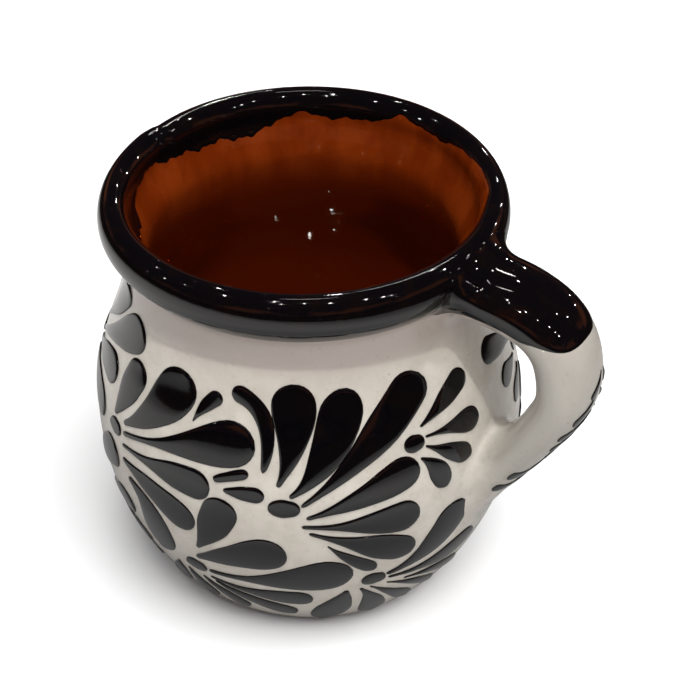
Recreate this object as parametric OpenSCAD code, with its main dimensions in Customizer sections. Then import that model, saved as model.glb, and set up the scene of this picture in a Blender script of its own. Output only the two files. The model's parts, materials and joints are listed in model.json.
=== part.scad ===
// Jarrito clay mug: a thrown red clay pot with a pulled handle, glaze coats and raised black plumes.
// Z is up, the origin is the middle of the foot on the table, and the handle points along +X.
// Angles round the pot are degrees from the handle, counted anticlockwise from above.

/* [Pot] */
// Diameter of the foot
foot_d = 61.6; // [54:0.2:68]
// Width of the ring under the foot that touches the table
foot_ring_w = 5; // [3:0.5:9]
// Depth of the hollow under the foot
foot_hollow = 1.5; // [0.5:0.1:2.5]
// Height of the widest part of the belly
belly_z = 42; // [36:0.5:50]
// How far the belly swells out beyond the neck
belly_swell = 9.1; // [5:0.1:14]
// Rise from the belly to the start of the neck
shoulder_h = 42; // [36:0.5:50]
// Diameter of the neck
neck_d = 79; // [72:0.5:84]
// Rise from the start of the neck to the middle of the rolled rim
neck_h = 11.3; // [10:0.1:15]
// How far the rolled rim stands out beyond the neck
rim_flare = 4.5; // [2:0.1:7]
// Thickness of the rolled rim
rim_t = 6; // [5:0.1:8]
// Height of the rolled rim
rim_h = 9.4; // [7:0.1:11]
// Thickness of the clay wall
wall_t = 5; // [3.5:0.1:6]
// Thickness of the clay floor
floor_t = 5; // [3.5:0.1:8]

/* [Handle] */
// Clear depth of the finger gap beside the neck
finger_gap = 20; // [16:0.5:28]
// Width of the handle
handle_w = 17; // [13:0.5:21]
// Thickness of the handle at its grip
handle_t = 11.4; // [9:0.2:13]
// Thickness of the handle at its lower end
handle_low_t = 8.8; // [7:0.2:12]
// Drop of the upper root below the middle of the rim
upper_root_drop = 4.6; // [3.5:0.1:6]
// Height where the middle of the lower root meets the belly
lower_root_z = 40; // [34:0.5:46]
// Length of the slip fillets along the handle
fillet_l = 7; // [5:0.5:9]

/* [Glaze] */
// Thickness of the glaze coats
coat_t = 0.4; // [0.2:0.05:0.7]
// Height of bare clay above the table
bare_h = 2; // [1.2:0.1:4]
// Drop of the black glaze on the outside, from the middle of the rim
black_drop = 6.3; // [5:0.1:8]
// Drop of the black glaze on the inside, from the middle of the rim
drip_drop = 1; // [0.5:0.1:9]
// Height that the black plumes stand above the glaze
relief = 0.7; // [0.4:0.05:1.1]

/* [Hidden] */
$fn = 96;

// Clearances under faceted pieces that seat on the handle, and under long strokes on the round pot
seat_gap = 0.08;
stroke_gap = 0.2;

// Radii, and the heights that the sizes above stack up to
foot_r = foot_d/2;
neck_r = neck_d/2;
belly_r = neck_r + belly_swell;
rim_r = neck_r + rim_flare;
roll_r = rim_r - rim_t/2;
neck_z = belly_z + shoulder_h;
rim_z = neck_z + neck_h;
mug_h = rim_z + rim_h/2;
floor_z = foot_hollow + floor_t;
inner_floor_r = foot_r - wall_t;
black_z = rim_z - black_drop;
drip_z = rim_z - drip_drop;

// Steps of the curves
bowl_steps = 16;
shoulder_steps = 16;
flare_steps = 6;
roll_steps = 14;
neck_steps = 8;

// The pot's curves

// The outer flare starts at this share of the neck's rise and meets the roll this far below its middle
flare_start_share = 0.2;
roll_join_a = 30;
flare_z = neck_z + neck_h*flare_start_share;
join_z = rim_z - rim_h/2*sin(roll_join_a);
join_r = roll_r + rim_t/2*cos(roll_join_a);
join_slope = rim_t/rim_h*tan(roll_join_a);
shoulder_power = 1.2;

function mix(a, b, t) = a + (b - a)*t;
// Swelling of a bowl, from 0 at its foot to 1 at its widest
function bowl(t) = (sqrt(1 - pow(1 - t, 2)) + sin(90*t))/2;
// Drawing-in of the shoulder, from 0 at the belly to 1 at the neck
function draw_in(t) = (1 - cos(180*pow(t, shoulder_power)))/2;
function smooth(t) = t*t*(3 - 2*t);
// Curve that leaves a at slope 0 and reaches b at slope m, over the length l
function flare(a, b, m, l, t) = mix(a, b, smooth(t)) + m*l*t*t*(t - 1);

function outer_r(z) =
    z <= belly_z ? mix(foot_r, belly_r, bowl(z/belly_z))
    : z <= neck_z ? mix(belly_r, neck_r, draw_in((z - belly_z)/shoulder_h))
    : z <= flare_z ? neck_r
    : flare(neck_r, join_r, join_slope, join_z - flare_z, (z - flare_z)/(join_z - flare_z));

function inner_r(z) =
    z >= neck_z ? mix(neck_r - wall_t, rim_r - rim_t, smooth((z - neck_z)/neck_h))
    : z >= belly_z ? mix(belly_r, neck_r, draw_in((z - belly_z)/shoulder_h)) - wall_t
    : mix(inner_floor_r, belly_r - wall_t, bowl((z - floor_z)/(belly_z - floor_z)));

// Heights in rising order, with one more height put in its place
function with_line(zs, line) = concat([for (z = zs) if (z < line) z], [line], [for (z = zs) if (z > line) z]);
function count_below(zs, line) = len([for (z = zs) if (z < line) z]);
// Heights up a bowl, closer together near its foot, without the last
function bowl_heights(z0) = [for (i = [0:bowl_steps - 1]) mix(z0, belly_z, 1 - cos(90*i/bowl_steps))];
shoulder_heights = [for (i = [0:shoulder_steps - 1]) belly_z + shoulder_h*i/shoulder_steps];

outer_zs = with_line(with_line(concat(
    bowl_heights(0), shoulder_heights, [neck_z],
    [for (i = [0:flare_steps]) mix(flare_z, join_z, i/flare_steps)]
), bare_h), black_z);
inner_zs = with_line(concat(
    bowl_heights(floor_z), shoulder_heights,
    [for (i = [0:neck_steps - 1]) neck_z + neck_h*i/neck_steps]
), drip_z);

outer_points = [for (z = outer_zs) [outer_r(z), z]];
roll_points = [
    for (i = [1:roll_steps])
        let (a = mix(-roll_join_a, 180, i/roll_steps)) [roll_r + rim_t/2*cos(a), rim_z + rim_h/2*sin(a)]
];
inner_points = [for (i = [len(inner_zs) - 1:-1:0]) [inner_r(inner_zs[i]), inner_zs[i]]];

// The pot's skin, from the edge of its foot up over the rim and down to the middle of its floor
skin = concat(outer_points, roll_points, inner_points, [[0, floor_z]]);
skin_end = len(skin) - 1;
bare_i = count_below(outer_zs, bare_h);
black_i = count_below(outer_zs, black_z);
drip_i = len(outer_points) + len(roll_points) + len(inner_zs) - 1 - count_below(inner_zs, drip_z);

function skin_normal(i) =
    i == skin_end ? [0, 1] : let (d = skin[i + 1] - skin[i - 1]) [d.y, -d.x]/norm(d);

// Radius of the clay at a height, on the straight lines between the skin's points, up to the crest of the rim
outer_table = [for (p = concat(outer_points, roll_points)) if (p.x >= roll_r || p.y < neck_z) [p.y, p.x]];
function clay_r(z) = lookup(z, outer_table);
percent = mug_h/100;
slope_step = percent/2;
function clay_slope(z) = (clay_r(z + slope_step) - clay_r(z - slope_step))/(2*slope_step);

// A point e above the clay, at an angle round the pot and a height
function on_pot(a, z, e) =
    let (r = clay_r(z) + e*sqrt(1 + pow(clay_slope(z), 2))) [r*cos(a), r*sin(a), z];
// Lengths on the pot that a degree of angle and a unit of height span
function pot_metric(a, z) = [clay_r(z)*PI/180, sqrt(1 + pow(clay_slope(z), 2))];

// The handle's curves

upper_root_z = rim_z - upper_root_drop;
grip_r = neck_r + coat_t + finger_gap + handle_t/2;
// The handle's middle line, from inside the rim to inside the belly: shares of the way out from
// the neck to the grip, of the rise from the lower root to the upper one, and of the belly's swelling
path_shares = [
    [-0.45, 1.01, 0], [-0.1, 1.01, 0], [0.2, 1, 0], [0.54, 0.98, 0], [0.81, 0.92, 0], [0.97, 0.8, 0],
    [0.93, 0.6, 0.2], [0.6, 0.38, 0.6], [0.12, 0.1, 1], [-0.18, -0.14, 1], [-0.45, -0.36, 1],
];
path = [for (s = path_shares)
    [mix(neck_r, grip_r, s.x) + belly_swell*s.z, mix(lower_root_z, upper_root_z, s.y)]];
path_spans = len(path) - 3;
// The handle's thickness turns into that of its lower end between these shares of its length
thin_start_share = 0.5;
thin_end_share = 0.85;
// Power that makes the oval section a little square, and how wide the fillets stand as shares of it,
// above and below the handle and at its sides
strap_power = 0.87;
fillet_share = 0.6;
upper_side_share = 0.6;
lower_side_share = 0.15;
ring_steps = 24;
length_steps = 20;
land_steps = 14;

function spline(p, t) = 0.5*(2*p[1] + (p[2] - p[0])*t + (2*p[0] - 5*p[1] + 4*p[2] - p[3])*t*t
    + (3*p[1] - p[0] - 3*p[2] + p[3])*t*t*t);
function spline_slope(p, t) = 0.5*((p[2] - p[0]) + (4*p[0] - 10*p[1] + 8*p[2] - 2*p[3])*t
    + (9*p[1] - 3*p[0] - 9*p[2] + 3*p[3])*t*t);
function span_of(u) = min(path_spans - 1, floor(u*path_spans));
function span_points(u) = [for (k = [0:3]) path[span_of(u) + k]];
function middle(u) = spline(span_points(u), u*path_spans - span_of(u));
function direction(u) =
    let (d = spline_slope(span_points(u), u*path_spans - span_of(u))) d/norm(d);
function held(t) = max(0, min(1, t));
function thickness(u) =
    mix(handle_t, handle_low_t, smooth(held((u - thin_start_share)/(thin_end_share - thin_start_share))));
function rounded(c) = sign(c)*pow(abs(c), strap_power);

// A point of the handle's section at u along it: a is 90 on the outside, 180 on the front side.
// The section is widened by the share k and then by the length e.
function on_strap(a, u, k, e) =
    let (
        m = middle(u),
        d = direction(u),
        y = rounded(cos(a))*(handle_w/2*k + e),
        n = rounded(sin(a))*(thickness(u)/2*k + e)
    ) [m.x - d.y*n, y, m.y + d.x*n];

// Where a line along the handle meets the surface e above the clay, halving between u_out and u_in
function meets(a, k, e, u_out, u_in, left = land_steps) =
    let (u = (u_out + u_in)/2)
        left == 0 ? u
        : let (p = on_strap(a, u, k, 0))
            norm([p.x, p.y]) > clay_r(p.z) + e*sqrt(1 + pow(clay_slope(p.z), 2))
                ? meets(a, k, e, u, u_in, left - 1) : meets(a, k, e, u_out, u, left - 1);
upper_search_shares = [0.4, 0];
lower_search_shares = [0.6, 1];
function root_u(a, k, e, ends) = meets(a, k, e, ends[0], ends[1]);

measure_steps = 60;
strap_lengths = [for (i = [1:measure_steps]) norm(middle(i/measure_steps) - middle((i - 1)/measure_steps))];
function total(list, i = 0) = i == len(list) ? 0 : list[i] + total(list, i + 1);
strap_length = total(strap_lengths);
fillet_u = fillet_l/strap_length;
// Where the fillets end on the handle
function upper_end(a) = root_u(a, 1, 0, upper_search_shares) + fillet_u;
function lower_end(a) = root_u(a, 1, 0, lower_search_shares) - fillet_u;

// Closed skins from grids of points

// Solid between an upper and a lower grid of points, each a list of rows of the same length.
// A looped solid joins its last row to its first.
module slab(top, bottom, looped = false) {
    rows = len(top);
    row = len(top[0]);
    size = rows*row;
    last = looped ? rows - 1 : rows - 2;
    points = concat([for (r = top) each r], [for (r = bottom) each r]);
    function at(i, j) = (i % rows)*row + j;
    faces = concat(
        [for (i = [0:last], j = [0:row - 2]) each [
            [at(i, j), at(i, j + 1), at(i + 1, j + 1)],
            [at(i, j), at(i + 1, j + 1), at(i + 1, j)],
            [size + at(i, j), size + at(i + 1, j + 1), size + at(i, j + 1)],
            [size + at(i, j), size + at(i + 1, j), size + at(i + 1, j + 1)],
        ]],
        [for (i = [0:last]) each [
            [at(i, 0), at(i + 1, 0), size + at(i + 1, 0)],
            [at(i, 0), size + at(i + 1, 0), size + at(i, 0)],
            [at(i, row - 1), size + at(i + 1, row - 1), at(i + 1, row - 1)],
            [at(i, row - 1), size + at(i, row - 1), size + at(i + 1, row - 1)],
        ]],
        looped ? [] : [for (j = [0:row - 2]) each [
            [at(0, j), size + at(0, j + 1), at(0, j + 1)],
            [at(0, j), size + at(0, j), size + at(0, j + 1)],
            [at(rows - 1, j), at(rows - 1, j + 1), size + at(rows - 1, j + 1)],
            [at(rows - 1, j), size + at(rows - 1, j + 1), size + at(rows - 1, j)],
        ]]
    );
    polyhedron(points, faces);
}

// The raised strokes

// Curve through a base, a middle and a tip
function bow(p, t) = p[0]*(1 - t)*(1 - 2*t) + p[1]*4*t*(1 - t) + p[2]*t*(2*t - 1);
function bow_slope(p, t) = p[0]*(4*t - 3) + p[1]*(4 - 8*t) + p[2]*(4*t - 1);

// Places of a stroke's rows, as shares of its narrow stem and of its round end
stem_shares = [0, 0.27, 0.53, 0.78, 1];
round_end_shares = [0.62, 0.93];
stem_start_share = 0.1;
bead_shares = [0.06, 0.26, 0.5, 0.74, 0.94];
across_shares = [-1, -0.42, 0.42, 1];
edge_share = 0.25;
low_end_share = 0.4;

round_limit_share = 0.5;

// Unit of the strokes' widths: a percent of the mug's height, or less round a slim belly
slim_share = 1.03;
width_unit = min(percent, 2*belly_r*slim_share/100);

function stem_width(t, thin) = mix(stem_start_share, 1, pow(sin(90*t), thin));
function round_width(t) = sqrt(1 - t*t);
// Rows of a plume as [place along it, share of its width], where round is the share of its round end
// and thin is higher for a stem that stays thin for longer
function plume_rows(round, thin) = concat(
    [for (s = stem_shares) [s*(1 - round), stem_width(s, thin)]],
    [for (s = round_end_shares) [1 - round + s*round, round_width(s)]]
);
function bead_rows() = [for (s = bead_shares) [s, round_width(2*s - 1)]];

// Grid of points of a stroke whose spine and width are on the pot
function pot_grid(spine, rows, width, raised) = [
    for (r = rows)
        let (
            c = bow(spine, r.x),
            m = pot_metric(c.x, c.y),
            s = bow_slope(spine, r.x),
            d = [s.x*m.x, s.y*m.y]/norm([s.x*m.x, s.y*m.y])
        )
        [for (x = across_shares) on_pot(
            c.x - d.y*x*r.y*width/2/m.x,
            c.y + d.x*x*r.y*width/2/m.y,
            coat_t + stroke_gap + (raised ? lift(x, r.y) : 0)
        )]
];
function lift(x, f) = relief*mix(low_end_share, 1, f)*(abs(x) == 1 ? edge_share : 1);

module pot_stroke(spine, rows, width) {
    slab(pot_grid(spine, rows, width, true), pot_grid(spine, rows, width, false));
}

// Spine of a plume [[base angle, height], [middle], [tip], width, thinness of its stem], with its
// heights and widths as percent of the mug's height
function turned(a, turn, flip) = turn + (flip ? -a : a);
function stroke_spine(s, turn, flip) = [for (k = [0:2]) [turned(s[k].x, turn, flip), s[k].y*percent]];
function spine_length(p) =
    let (m = pot_metric(p[1].x, p[1].y)) norm([(p[2].x - p[0].x)*m.x, (p[2].y - p[0].y)*m.y]);

// A spray: its plumes, and a bead at its heart when the bead has a size
module spray(plumes, bead = [], turn = 0, flip = false) {
    for (s = plumes) {
        spine = stroke_spine(s, turn, flip);
        width = s[3]*width_unit;
        pot_stroke(spine, plume_rows(min(round_limit_share, width/2/spine_length(spine)), s[4]), width);
    }
    if (len(bead) > 0) {
        z = bead[0].y*percent;
        half = bead[1].x/2*width_unit/pot_metric(0, z).x;
        spine = [for (x = [-half, 0, half]) [turned(bead[0].x, turn, flip) + x, z]];
        pot_stroke(spine, bead_rows(), bead[1].y*width_unit);
    }
}

// Tables of the strokes: angles in degrees, heights and widths in percent shares of the mug's height

left_shares = [
    [[-118.8, 54.7], [-115.3, 62], [-111.5, 70.2], 8.2, 1.2],
    [[-113.7, 55], [-102.3, 63], [-92.7, 74.6], 10.4, 1.6],
    [[-113.7, 52.3], [-92.2, 58.7], [-70.3, 64.6], 10.6, 4],
    [[-113.9, 49.1], [-97.8, 50.9], [-81.9, 51.2], 8.2, 3.2],
    [[-113.6, 45.5], [-100.3, 43.4], [-87.3, 38.5], 8.7, 1.5],
    [[-111.2, 41.4], [-102.8, 34.8], [-103, 23.3], 9.8, 1.3],
];
left_bead_shares = [[-118, 51.7], [5.3, 4.2]];

front_shares = [
    [[-67.8, 57.8], [-68, 69.2], [-77.8, 74.4], 4.1, 1.2],
    [[-63.9, 55], [-60, 65.5], [-60.4, 77.4], 9.3, 1.7],
    [[-60.9, 52.6], [-51.7, 61.3], [-44.3, 76], 9.2, 1.6],
    [[-58, 50.3], [-40, 62.5], [-21.8, 75.1], 9.8, 1.9],
    [[-56.8, 47.2], [-42, 51.6], [-26.8, 56.3], 8.2, 1.9],
    [[-58, 45], [-42.5, 44.3], [-27.1, 43.7], 8.2, 2.8],
    [[-56.2, 43.1], [-42.8, 38.4], [-28.3, 32.5], 8, 2.5],
    [[-51.6, 39.1], [-46.3, 34.6], [-38.8, 29.2], 3.8, 1.8],
];
front_bead_shares = [[-62.3, 49.7], [7, 4.8]];

small_fan_shares = [
    [[-24.6, 63.7], [-15.5, 66.8], [-5.8, 70.1], 5.7, 1.7],
    [[-23.6, 61.2], [-13.8, 60.3], [-4.6, 58.9], 5.7, 2.6],
    [[-23.9, 59.2], [-17.3, 55.8], [-9.9, 51.8], 4.8, 1.7],
    [[-25.9, 57], [-21.7, 53.2], [-19.1, 47.4], 5.3, 1.5],
];
small_fan_bead_shares = [[-27.1, 60.7], [4.9, 4.2]];

lower_right_shares = [
    [[-35.2, 25.5], [-22.6, 30.6], [-13.4, 41], 10, 2],
    [[-34.4, 23.8], [-19.5, 23.1], [-3.8, 24.4], 8, 3],
    [[-28.8, 20.6], [-17.5, 18.1], [-6, 14], 4.6, 2],
    [[-34.4, 21.3], [-25, 16.9], [-14.5, 10.8], 3.6, 2],
    [[-39.4, 21.5], [-31.6, 15.4], [-23, 8.2], 4.3, 2],
    [[-42.2, 21.4], [-37.8, 14.3], [-35.3, 5.2], 6.5, 1.8],
    [[-46.1, 21.3], [-48.3, 14.5], [-53, 4.8], 8.4, 1.3],
];
lower_right_bead_shares = [[-38.8, 24.8], [5.6, 4.9]];

lower_left_shares = [
    [[-87.2, 32.2], [-82.2, 40], [-77.7, 49.5], 8.8, 1.6],
    [[-88.6, 28.1], [-75.5, 33], [-62.3, 37.2], 9.8, 1.3],
    [[-85.9, 23.7], [-65.5, 26.1], [-44.9, 30], 11.2, 3.3],
    [[-86.4, 20.8], [-71, 19], [-55.6, 18.3], 7.3, 3],
    [[-85.3, 19.4], [-73.8, 14.4], [-61.2, 9.7], 6.2, 1.4],
    [[-89.5, 19.4], [-84.3, 14.3], [-78, 8.6], 4.8, 1.5],
    [[-94.4, 20.4], [-92.8, 15], [-90.3, 8.5], 4.6, 1.5],
    [[-97.9, 21], [-99.6, 16.5], [-103.3, 9.5], 5.2, 1.5],
];
lower_left_bead_shares = [[-89.9, 24], [5.5, 4.8]];

filler_shares = [
    [[-88.8, 65.2], [-85.8, 69.1], [-81, 72.7], 3.6, 1.6],
    [[-80.9, 54.1], [-77, 55.6], [-71.5, 57.3], 2.5, 0.3],
    [[-78.2, 52.2], [-73, 52.3], [-67.2, 52.4], 3.9, 0.8],
];

far_left_shares = [
    [[-148, 65], [-137.5, 73.5], [-127.8, 83.3], 8.4, 1.8],
    [[-147, 61.6], [-129.5, 69.6], [-113.2, 76.8], 9, 2],
    [[-148.5, 58.5], [-135.5, 61.1], [-122.3, 62.4], 7.6, 1.8],
    [[-150, 55], [-139, 52.6], [-126.2, 50.8], 9.3, 1.3],
];
far_left_bead_shares = [[-155, 58.3], [5.5, 4.5]];

lower_far_left_shares = [
    [[-136.7, 30.8], [-127.6, 38.8], [-117, 45.4], 8.8, 1.6],
    [[-132, 26.8], [-122.5, 29.5], [-112.3, 31.3], 7.4, 1.6],
    [[-131, 23.8], [-121.5, 22.3], [-110.5, 20.3], 6.2, 2],
    [[-132, 20.8], [-124.5, 16.2], [-114.5, 11], 5.4, 2],
    [[-136, 19.8], [-131.5, 13], [-127, 5.5], 6, 1.8],
];
lower_far_left_bead_shares = [[-138, 24.5], [5, 4.2]];

behind_handle_shares = [
    [[27, 61], [17, 65.5], [4.5, 69.2], 6.5, 1.8],
    [[25.5, 58], [18.5, 58.3], [10.8, 59], 5.4, 1.8],
    [[26.5, 55], [21.5, 52.5], [16.2, 50.5], 5.2, 1.6],
    [[29.5, 53.3], [28.5, 48.5], [29.5, 43.5], 4.8, 1.6],
    [[31, 63], [31.5, 69.5], [29, 76], 6, 1.8],
];
behind_handle_bead_shares = [[30.5, 58.3], [5, 4.2]];

module clay_pot() {
    color("#8a4a2c") rotate_extrude() polygon(concat(
        skin,
        [[0, foot_hollow], [foot_r - foot_ring_w - foot_hollow, foot_hollow], [foot_r - foot_ring_w, 0]]
    ));
}

// Opening in the pot's coats where a root of the handle lands on the clay
window_share = 1.1;
module root_window(ends) {
    z0 = on_strap(90, root_u(90, window_share, 0, ends), window_share, 0).z;
    z1 = on_strap(270, root_u(270, window_share, 0, ends), window_share, 0).z;
    y = handle_w/2*window_share;
    translate([sqrt(neck_r*neck_r - y*y), -y, min(z0, z1)]) cube([belly_r, 2*y, abs(z1 - z0)]);
}

// Coat of glaze between two points of the pot's skin
module pot_coat(i0, i1) {
    rotate_extrude() polygon(concat(
        [for (i = [i0:i1]) skin[i]],
        [for (i = [i1:-1:i0]) skin[i] + coat_t*skin_normal(i)]
    ));
}

module cream_glaze_pot() {
    color("#d9d4c8") difference() {
        pot_coat(bare_i, black_i);
        root_window(upper_search_shares);
        root_window(lower_search_shares);
    }
}

module black_glaze_lip() {
    color("#120e0d") difference() {
        pot_coat(black_i, drip_i);
        root_window(upper_search_shares);
    }
}

module amber_glaze_lining() {
    color("#8a3c10") pot_coat(drip_i, skin_end);
}

// Rings of the handle's ends between their middle and their edge, laid on the pot
inward_shares = [0.33, 0.66];
function landed(a, k, ends) = on_strap(a, root_u(a, k, seat_gap, ends), k, 0);
function upper_u(a) = root_u(a, 1, seat_gap, upper_search_shares);
function lower_u(a) = root_u(a, 1, seat_gap, lower_search_shares);

module clay_handle() {
    angles = [for (i = [0:ring_steps - 1]) 360*i/ring_steps];
    // One row a line along the handle, with the rings of both ends
    rows = [for (a = angles) concat(
        [for (k = inward_shares) landed(a, k, upper_search_shares)],
        [for (i = [0:length_steps]) on_strap(a, mix(upper_u(a), lower_u(a), i/length_steps), 1, 0)],
        [for (i = [len(inward_shares) - 1:-1:0]) landed(a, inward_shares[i], lower_search_shares)]
    )];
    row = len(rows[0]);
    size = ring_steps*row;
    upper = landed(0, 0, upper_search_shares);
    lower = landed(0, 0, lower_search_shares);
    function at(i, j) = (i % ring_steps)*row + j;
    color("#8a4a2c") polyhedron(
        concat([for (r = rows) each r], [upper, lower]),
        concat(
            [for (i = [0:ring_steps - 1], j = [0:row - 2]) each [
                [at(i, j), at(i + 1, j + 1), at(i, j + 1)],
                [at(i, j), at(i + 1, j), at(i + 1, j + 1)],
            ]],
            [for (i = [0:ring_steps - 1]) each [
                [at(i, 0), size, at(i + 1, 0)],
                [at(i, row - 1), at(i + 1, row - 1), size + 1],
            ]]
        )
    );
}

fillet_steps = 6;
foot_steps = 2;
fillet_power = 2.2;

// Slip fillet round a root: its curved face, its foot on the pot's coat and its back on the handle.
// A row is one closed loop of points, so the rows join into a ring.
module root_fillet(ends, along, side_share) {
    foot_e = coat_t + seat_gap;
    loops = [for (i = [0:ring_steps - 1])
        let (
            a = 360*i/ring_steps,
            reach = mix(side_share, fillet_share, abs(sin(a))),
            widest = 1 + reach,
            u_end = root_u(a, 1, 0, ends) + along*fillet_u,
            u_wide = root_u(a, widest, foot_e, ends),
            u_back = root_u(a, 1, foot_e, ends)
        )
        concat(
            [for (j = [0:fillet_steps])
                let (t = j/fillet_steps, k = 1 + reach*pow(1 - t, fillet_power))
                on_strap(a, mix(u_wide, u_end, t), k, seat_gap + coat_t*t)],
            [on_strap(a, u_end, 1, seat_gap), on_strap(a, (u_end + u_back)/2, 1, seat_gap)],
            [for (j = [0:foot_steps - 1])
                let (k = mix(1, widest, j/foot_steps))
                on_strap(a, root_u(a, k, foot_e, ends), k, seat_gap)]
        )
    ];
    row = len(loops[0]);
    function at(i, j) = (i % ring_steps)*row + j % row;
    polyhedron(
        [for (l = loops) each l],
        [for (i = [0:ring_steps - 1], j = [0:row - 1]) each along > 0 ? [
            [at(i, j), at(i + 1, j + 1), at(i, j + 1)],
            [at(i, j), at(i + 1, j), at(i + 1, j + 1)],
        ] : [
            [at(i, j), at(i, j + 1), at(i + 1, j + 1)],
            [at(i, j), at(i + 1, j + 1), at(i + 1, j)],
        ]]
    );
}

module upper_root_fillet() {
    color("#120e0d") root_fillet(upper_search_shares, 1, upper_side_share);
}

module lower_root_fillet() {
    color("#d9d4c8") root_fillet(lower_search_shares, -1, lower_side_share);
}

// The black glaze covers the top and sides of the handle, from this many ring steps before its
// front side to as many past its far side, and ends in a round edge on the outside
black_side_steps = 2;
black_reach_share = 0.455;
black_side_share = 0.31;
step_a = 360/ring_steps;
black_first = -black_side_steps;
black_last = ring_steps/2 + black_side_steps;
function black_end(a) = mix(black_side_share, black_reach_share, smooth(max(0, sin(a))));
black_length_steps = 8;
handle_coat_steps = 15;

function coat_rows(columns, e) =
    [for (c = columns) [for (i = [0:c[3]]) on_strap(c[0], mix(c[1], c[2], i/c[3]), 1, e)]];

module handle_coat(columns, looped) {
    slab(coat_rows(columns, seat_gap + coat_t), coat_rows(columns, seat_gap), looped);
}

module black_glaze_handle() {
    color("#120e0d") handle_coat([
        for (i = [black_first:black_last])
            let (a = i*step_a) [a, upper_end(a), black_end(a), black_length_steps]
    ], false);
}

// The cream glaze starts at the black edge on the outside and at the upper root underneath
edge_gap_a = step_a/40;
under_angles = concat(
    [black_last*step_a + edge_gap_a],
    [for (i = [black_last + 1:ring_steps + black_first - 1]) i*step_a],
    [360 + black_first*step_a - edge_gap_a]
);

module cream_glaze_handle() {
    color("#d9d4c8") handle_coat(concat(
        [for (i = [black_first:black_last])
            let (a = i*step_a) [a, black_end(a), lower_end(a), handle_coat_steps]],
        [for (a = under_angles) [a, upper_end(a), lower_end(a), handle_coat_steps]]
    ), true);
}

// Leaves in pairs down the outside of the handle: angles of their ends from the outside, which are
// wider at the last pair, their run along the handle, their width as a share of the handle's, and
// the first pair's place
leaf_pairs = 7;
leaf_base_a = 6;
first_tip_a = 23;
last_tip_a = 68;
leaf_run_share = 0.05;
leaf_bow_share = 0.62;
leaf_w_share = 0.135;
leaf_start_share = 0.541;
leaf_end_u = lower_end(90 + last_tip_a) - leaf_run_share - leaf_w_share*handle_w/strap_length;
leaf_round_share = 0.25;
leaf_thin = 1.5;

function strap_grid(spine, rows, width, raised) =
    let (a_length = PI*(handle_w + handle_t)/2/360)
    [for (r = rows)
        let (
            c = bow(spine, r.x),
            s = bow_slope(spine, r.x),
            d = [s.x*a_length, s.y*strap_length]/norm([s.x*a_length, s.y*strap_length])
        )
        [for (x = across_shares) on_strap(
            c.x - d.y*x*r.y*width/2/a_length,
            c.y + d.x*x*r.y*width/2/strap_length,
            1, coat_t + 2*seat_gap + (raised ? lift(x, r.y) : 0)
        )]
    ];

module handle_leaves() {
    rows = plume_rows(leaf_round_share, leaf_thin);
    width = handle_w*leaf_w_share;
    color("#15110f") for (i = [0:leaf_pairs - 1], side = [-1, 1]) {
        u = mix(leaf_start_share, leaf_end_u, i/(leaf_pairs - 1));
        tip_a = mix(first_tip_a, last_tip_a, i/(leaf_pairs - 1));
        spine = [
            [90 + side*leaf_base_a, u],
            [90 + side*(leaf_base_a + tip_a)/2, u + leaf_run_share*leaf_bow_share],
            [90 + side*tip_a, u + leaf_run_share],
        ];
        slab(strap_grid(spine, rows, width, true), strap_grid(spine, rows, width, false));
    }
}

module left_spray() {
    color("#15110f") spray(left_shares, left_bead_shares);
}

module front_spray() {
    color("#15110f") spray(front_shares, front_bead_shares);
}

module small_fan() {
    color("#15110f") spray(small_fan_shares, small_fan_bead_shares);
}

module lower_left_spray() {
    color("#15110f") spray(lower_left_shares, lower_left_bead_shares);
}

module lower_right_spray() {
    color("#15110f") spray(lower_right_shares, lower_right_bead_shares);
}

module filler_strokes() {
    color("#15110f") spray(filler_shares);
}

// Plumes on both sides of their heart
module double_spray(plumes, bead, turn = 0) {
    spray(plumes, bead, turn);
    spray(plumes, [], turn + 2*bead[0].x, true);
}

module far_left_spray() {
    color("#15110f") double_spray(far_left_shares, far_left_bead_shares);
}

module lower_far_left_spray() {
    color("#15110f") double_spray(lower_far_left_shares, lower_far_left_bead_shares);
}

module behind_handle_spray() {
    color("#15110f") spray(behind_handle_shares, behind_handle_bead_shares);
}

// Turns of the sprays that repeat at the back, flipped as a painter flips them
back_turn = 24;
back_left_turn = 24;
lower_back_right_turn = 14;
lower_back_turn = 24;
lower_back_left_turn = -60;

module back_spray() {
    color("#15110f") spray(front_shares, front_bead_shares, back_turn, true);
}

module back_left_spray() {
    color("#15110f") spray(left_shares, left_bead_shares, back_left_turn, true);
}

module lower_back_right_spray() {
    color("#15110f") spray(lower_right_shares, lower_right_bead_shares, lower_back_right_turn, true);
}

module lower_back_spray() {
    color("#15110f") spray(lower_left_shares, lower_left_bead_shares, lower_back_turn, true);
}

module lower_back_left_spray() {
    color("#15110f") double_spray(lower_far_left_shares, lower_far_left_bead_shares, lower_back_left_turn);
}

clay_pot();
clay_handle();
upper_root_fillet();
lower_root_fillet();
cream_glaze_pot();
black_glaze_lip();
amber_glaze_lining();
cream_glaze_handle();
black_glaze_handle();
left_spray();
front_spray();
small_fan();
lower_left_spray();
lower_right_spray();
filler_strokes();
far_left_spray();
lower_far_left_spray();
behind_handle_spray();
back_spray();
back_left_spray();
lower_back_right_spray();
lower_back_spray();
lower_back_left_spray();
handle_leaves();
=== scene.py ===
"""Looks of a jarrito clay mug: smooth glaze coats, low domed plumes, a flared handle, studio and camera."""

import json
import logging
import math
from dataclasses import dataclass, field, replace
from enum import Enum
from functools import cache
from typing import Callable, Sequence

import bpy
import numpy as np
from mathutils import Matrix, Vector

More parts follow.
